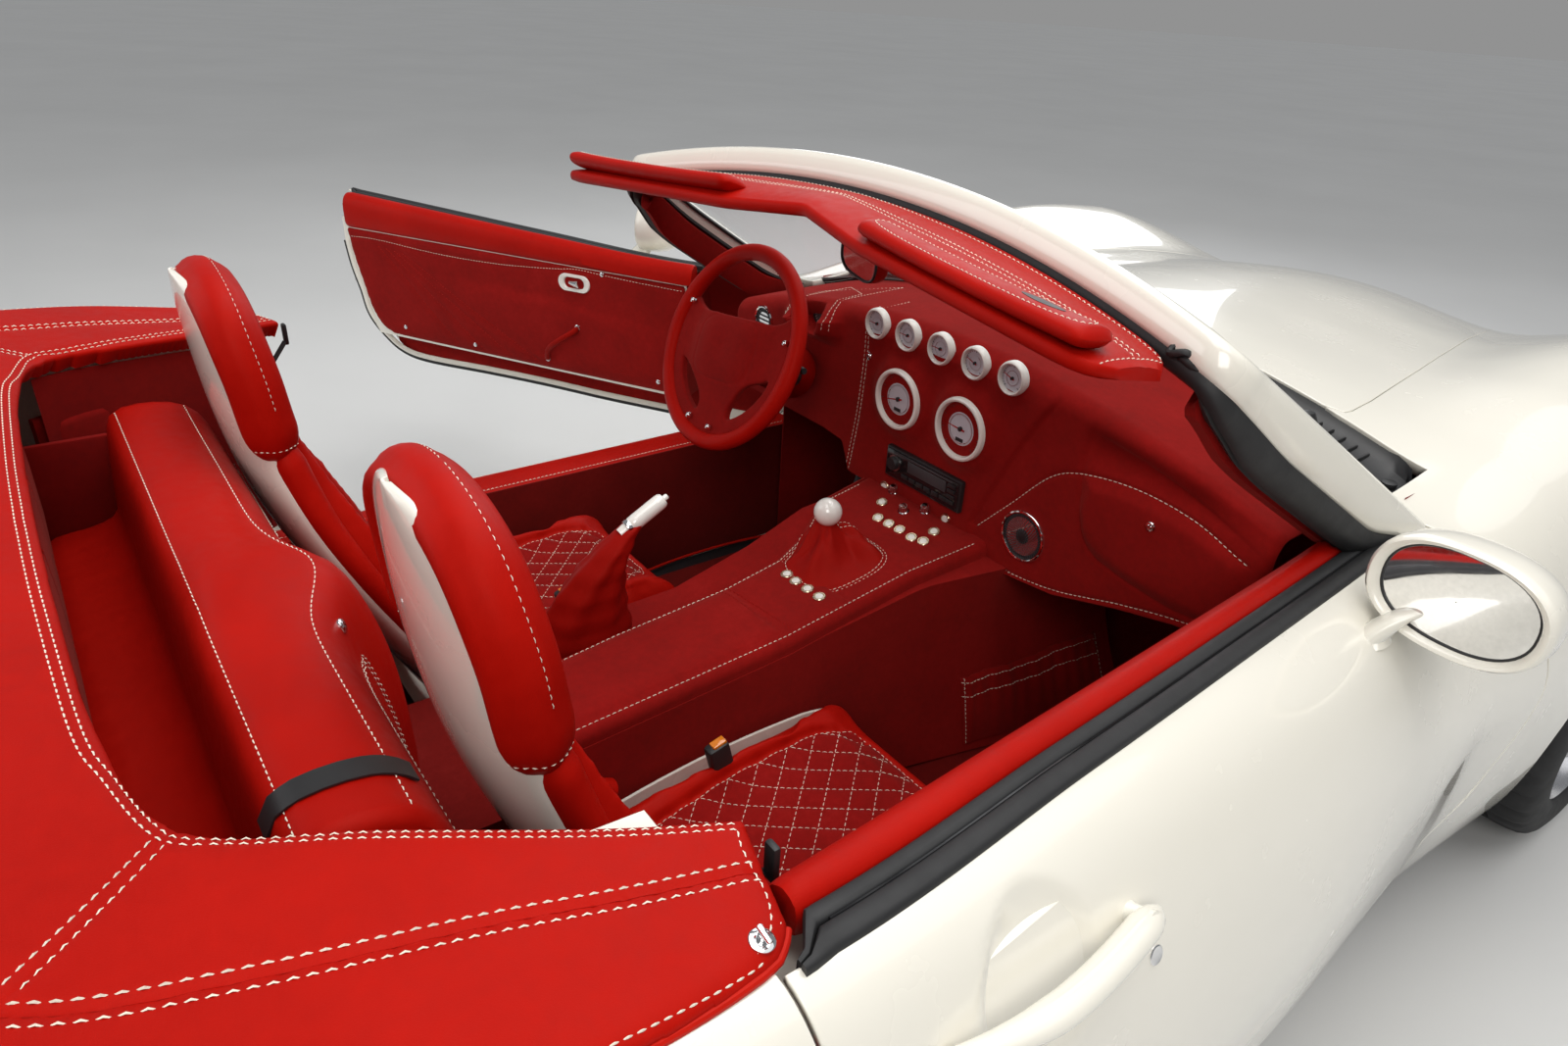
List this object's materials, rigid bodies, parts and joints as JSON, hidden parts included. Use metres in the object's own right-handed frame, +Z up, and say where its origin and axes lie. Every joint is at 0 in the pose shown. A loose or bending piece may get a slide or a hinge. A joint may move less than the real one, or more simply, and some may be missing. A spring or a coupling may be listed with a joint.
{
  "type": "roadster convertible",
  "caption": "Retro two-seat open roadster: rounded separate wings, raked windscreen, red trimmed cabin, hinged doors, bonnet and boot lid, steered front wheels, all wheels turning.",
  "frame": {"origin": "on the ground, midway between the axles, at the middle of the rectangle of the four tyre contact patches", "axes": "+Z up; the car faces -Y, so +Y runs to its tail along its length; +X is its left, the driver's side"},
  "size_m": [2.8277, 4.236, 1.1726],
  "materials": {
    "body_paint": "high gloss cream white paint under clear coat",
    "red_leather": "grained red leather with off-white double stitching",
    "red_suede": "red suede with a short matt nap",
    "red_carpet": "dark red velour carpet",
    "seat_shell_white": "gloss white shell",
    "clear_glass": "clear laminated glass",
    "lamp_glass": "clear lamp cover over a bright reflector",
    "tail_lens": "moulded red lens",
    "polished_metal": "polished",
    "instrument_faces": "white bezels over pale silver dials",
    "black_plastic": "fine-grained black",
    "dark_metal": "dark coated metal",
    "alloy": "bright painted alloy",
    "tyre_rubber": "black tyre rubber"
  },
  "bodies": {
    "body": {"boot_tub": "black_plastic", "centre_console": "red_leather", "cowl_panel": "body_paint", "dashboard": "red_suede", "engine_and_gearbox": "dark_metal", "exhaust": "polished_metal", "firewall": "red_suede", "floor_pan": "red_carpet", "front_wings": "body_paint", "gear_lever": "polished_metal", "grille": "polished_metal", "handbrake_lever": "polished_metal", "header_trim": "red_leather", "headlamps": "lamp_glass", "hood_cover": "red_leather", "instruments": "instrument_faces", "interior_mirror": "red_leather", "nose_panel": "body_paint", "pedals": "polished_metal", "plate_carriers": "black_plastic", "quarter_trims": "red_leather", "rear_axle": "dark_metal", "rear_bulkhead": "red_suede", "rear_shelf": "red_leather", "rear_wings": "body_paint", "seat_pads": "red_leather", "seat_shells": "seat_shell_white", "sills": "body_paint", "steering_column": "black_plastic", "subframes": "dark_metal", "sun_visors": "red_leather", "suspension_arms": "dark_metal", "tail_lamps": "tail_lens", "tail_panel": "body_paint", "transmission_tunnel": "red_carpet", "windscreen_frame": "body_paint", "windscreen_glass": "clear_glass"},
    "left_door": {"left_door_shell": "body_paint", "left_door_trim": "red_leather", "left_door_mirror": "body_paint"},
    "right_door": {"right_door_shell": "body_paint", "right_door_trim": "red_leather", "right_door_mirror": "body_paint"},
    "bonnet": {"bonnet": "body_paint"},
    "boot_lid": {"boot_lid": "body_paint"},
    "steering_wheel": {"steering_wheel": "red_leather"},
    "left_knuckle": {"left_knuckle": "dark_metal"},
    "right_knuckle": {"right_knuckle": "dark_metal"},
    "front_left_wheel": {"front_left_wheel": "alloy", "front_left_tyre": "tyre_rubber"},
    "front_right_wheel": {"front_right_wheel": "alloy", "front_right_tyre": "tyre_rubber"},
    "rear_left_wheel": {"rear_left_wheel": "alloy", "rear_left_tyre": "tyre_rubber"},
    "rear_right_wheel": {"rear_right_wheel": "alloy", "rear_right_tyre": "tyre_rubber"}
  },
  "joints": [
    {"name": "left_door_hinge", "type": "hinge", "parent": "body", "child": "left_door", "pos_m": [0.848, -0.59, 0.5], "axis": [0, 0, -1], "range_deg": [-55, 8]},
    {"name": "right_door_hinge", "type": "hinge", "parent": "body", "child": "right_door", "pos_m": [-0.848, -0.59, 0.5], "axis": [0, 0, 1], "range_deg": [0, 63]},
    {"name": "bonnet_hinge", "type": "hinge", "parent": "body", "child": "bonnet", "pos_m": [0, -1.964, 0.692], "axis": [1, 0, 0], "range_deg": [0, 55]},
    {"name": "boot_lid_hinge", "type": "hinge", "parent": "body", "child": "boot_lid", "pos_m": [0, 1.258, 0.906], "axis": [1, 0, 0], "range_deg": [0, 65]},
    {"name": "left_steer", "type": "hinge", "parent": "body", "child": "left_knuckle", "pos_m": [0.68, -1.2535, 0.33], "axis": [0, 0, 1], "range_deg": [-30, 30]},
    {"name": "right_steer", "type": "hinge", "parent": "body", "child": "right_knuckle", "pos_m": [-0.68, -1.2535, 0.33], "axis": [0, 0, 1], "range_deg": [-30, 30]},
    {"name": "steering_wheel_turn", "type": "hinge", "parent": "body", "child": "steering_wheel", "pos_m": [0.368, -0.109, 0.784], "axis": [0, 0.9135, 0.4067], "range_deg": [-420, 420]},
    {"name": "front_left_roll", "type": "hinge", "parent": "left_knuckle", "child": "front_left_wheel", "pos_m": [0.765, -1.2535, 0.33], "axis": [1, 0, 0], "continuous": true},
    {"name": "front_right_roll", "type": "hinge", "parent": "right_knuckle", "child": "front_right_wheel", "pos_m": [-0.765, -1.2535, 0.33], "axis": [1, 0, 0], "continuous": true},
    {"name": "rear_left_roll", "type": "hinge", "parent": "body", "child": "rear_left_wheel", "pos_m": [0.765, 1.2535, 0.34], "axis": [1, 0, 0], "continuous": true},
    {"name": "rear_right_roll", "type": "hinge", "parent": "body", "child": "rear_right_wheel", "pos_m": [-0.765, 1.2535, 0.34], "axis": [1, 0, 0], "continuous": true}
  ],
  "couplings": [
    {"joint": "right_steer", "follows": "left_steer", "ratio": 1},
    {"joint": "steering_wheel_turn", "follows": "left_steer", "ratio": 14}
  ]
}
